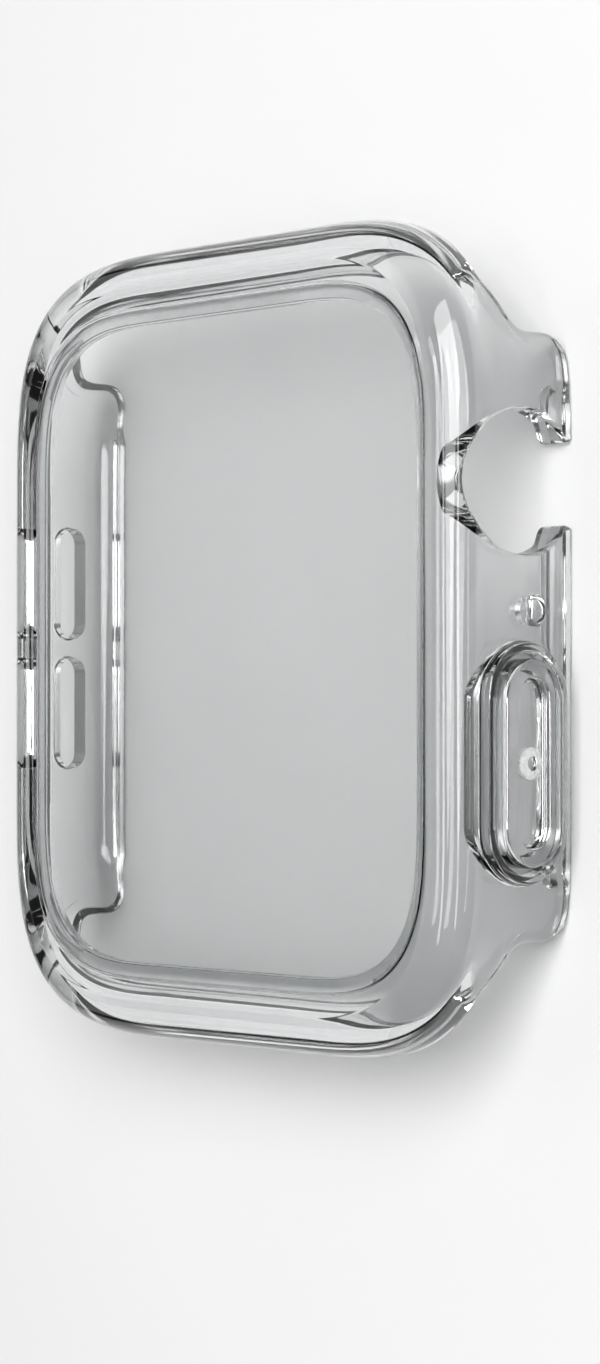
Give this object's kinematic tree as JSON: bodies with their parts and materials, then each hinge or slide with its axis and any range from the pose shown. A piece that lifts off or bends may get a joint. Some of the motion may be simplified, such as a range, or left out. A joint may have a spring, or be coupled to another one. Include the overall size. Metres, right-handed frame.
{
  "type": "smartwatch screen protector case",
  "caption": "Clear clip-on case with a built-in screen cover, a crown opening and a sprung side button, for a rounded rectangular smartwatch.",
  "frame": {"origin": "under the middle of the whole case, in the plane that the guards' rear edges rest on", "axes": "+Z out of the screen, +Y towards the strap at twelve o'clock, +X towards the crown and the button"},
  "size_m": [0.0418, 0.0476, 0.009],
  "materials": {
    "clear_plastic": "clear moulded polycarbonate, polished",
    "cover_glass": "clear tempered cover glass",
    "bond_film": "clear adhesive film",
    "button_plastic": "clear moulded polycarbonate, polished",
    "soft_web": "translucent soft elastomer, satin"
  },
  "bodies": {
    "case": {"frame": "clear_plastic", "screen_glass": "cover_glass", "glass_bond": "bond_film", "button_web": "soft_web"},
    "button": {"button_cap": "button_plastic"}
  },
  "joints": [
    {"name": "button_press", "type": "slide", "parent": "case", "child": "button", "axis": [-1, 0, 0], "range_m": [0, 0.0004], "stiffness_N_per_m": 600, "deforming": ["button_web"]}
  ]
}
